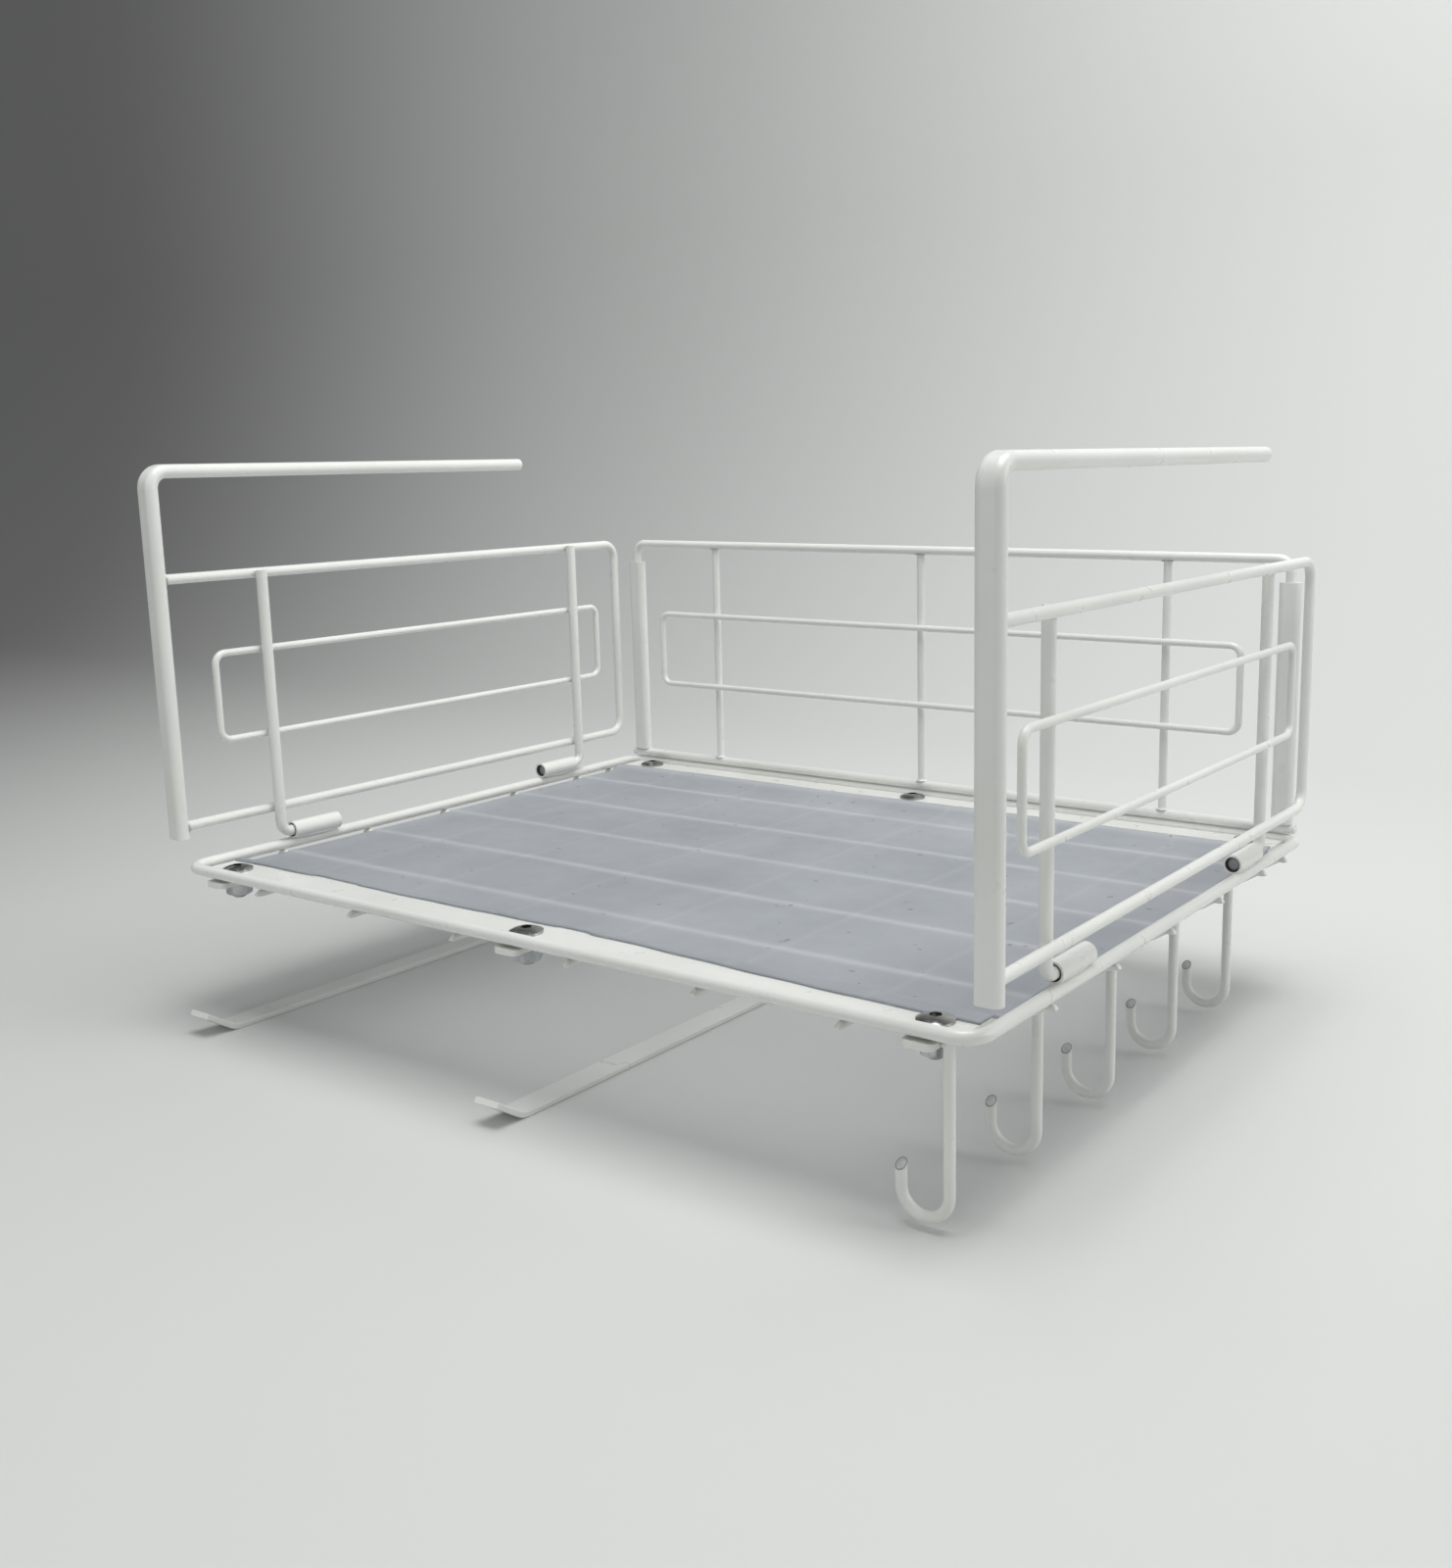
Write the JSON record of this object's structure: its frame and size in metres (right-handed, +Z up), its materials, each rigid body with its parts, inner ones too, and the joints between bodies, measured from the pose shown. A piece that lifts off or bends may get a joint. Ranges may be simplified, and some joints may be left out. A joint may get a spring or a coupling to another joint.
{
  "type": "under-shelf wire rack",
  "caption": "Wire rack that hangs under a shelf board, with inward folding sides, a lift-out back, a mat, board rails and side hooks.",
  "frame": {"origin": "under the middle of the whole rack, on the surface that it stands on", "axes": "+X to the right along the front rail, +Y from the front to the back, +Z up"},
  "size_m": [0.419, 0.3184, 0.2465],
  "materials": {
    "white_powder_coat": "satin white powder coat on steel wire, tube and flat bar",
    "mat_plastic": "translucent frosted bluish-grey plastic sheet",
    "bolt_chrome": "polished chrome plated steel",
    "nut_zinc": "bright zinc plated steel"
  },
  "bodies": {
    "base": {"base_loop": "white_powder_coat", "front_strip": "white_powder_coat", "rear_strip": "white_powder_coat", "long_wire_1": "white_powder_coat", "long_wire_2": "white_powder_coat", "long_wire_3": "white_powder_coat", "long_wire_4": "white_powder_coat", "long_wire_5": "white_powder_coat", "long_wire_6": "white_powder_coat", "cross_wire_1": "white_powder_coat", "cross_wire_2": "white_powder_coat", "cross_wire_3": "white_powder_coat", "cross_wire_4": "white_powder_coat", "cross_wire_5": "white_powder_coat", "cross_wire_6": "white_powder_coat", "mat": "mat_plastic", "board_rail_left": "white_powder_coat", "board_rail_middle": "white_powder_coat", "hook_bar": "white_powder_coat", "hook_1": "white_powder_coat", "hook_2": "white_powder_coat", "hook_3": "white_powder_coat", "hook_4": "white_powder_coat", "hook_5": "white_powder_coat", "bolts": "bolt_chrome", "nuts": "nut_zinc", "left_hinge_tube_front": "white_powder_coat", "left_hinge_tube_rear": "white_powder_coat", "right_hinge_tube_front": "white_powder_coat", "right_hinge_tube_rear": "white_powder_coat"},
    "left_panel": {"left_post": "white_powder_coat", "left_outer_wire": "white_powder_coat", "left_inner_loop": "white_powder_coat", "left_front_hinge_rod": "white_powder_coat", "left_rear_hinge_rod": "white_powder_coat"},
    "right_panel": {"right_post": "white_powder_coat", "right_outer_wire": "white_powder_coat", "right_inner_loop": "white_powder_coat", "right_front_hinge_rod": "white_powder_coat", "right_rear_hinge_rod": "white_powder_coat"},
    "back_panel": {"back_top_wire": "white_powder_coat", "back_bottom_wire": "white_powder_coat", "back_inner_loop": "white_powder_coat", "back_post_left": "white_powder_coat", "back_post_right": "white_powder_coat", "back_upright_1": "white_powder_coat", "back_upright_2": "white_powder_coat", "back_upright_3": "white_powder_coat"}
  },
  "joints": [
    {"name": "left_fold", "type": "hinge", "parent": "base", "child": "left_panel", "pos_m": [-0.1985, 0.00672, 0.0762], "axis": [0, 1, 0], "range_deg": [0, 90]},
    {"name": "right_fold", "type": "hinge", "parent": "base", "child": "right_panel", "pos_m": [0.1985, 0.00672, 0.0762], "axis": [0, -1, 0], "range_deg": [0, 90]},
    {"name": "back_lift", "type": "slide", "parent": "base", "child": "back_panel", "axis": [0, 0, 1], "range_m": [0, 0.14]}
  ]
}
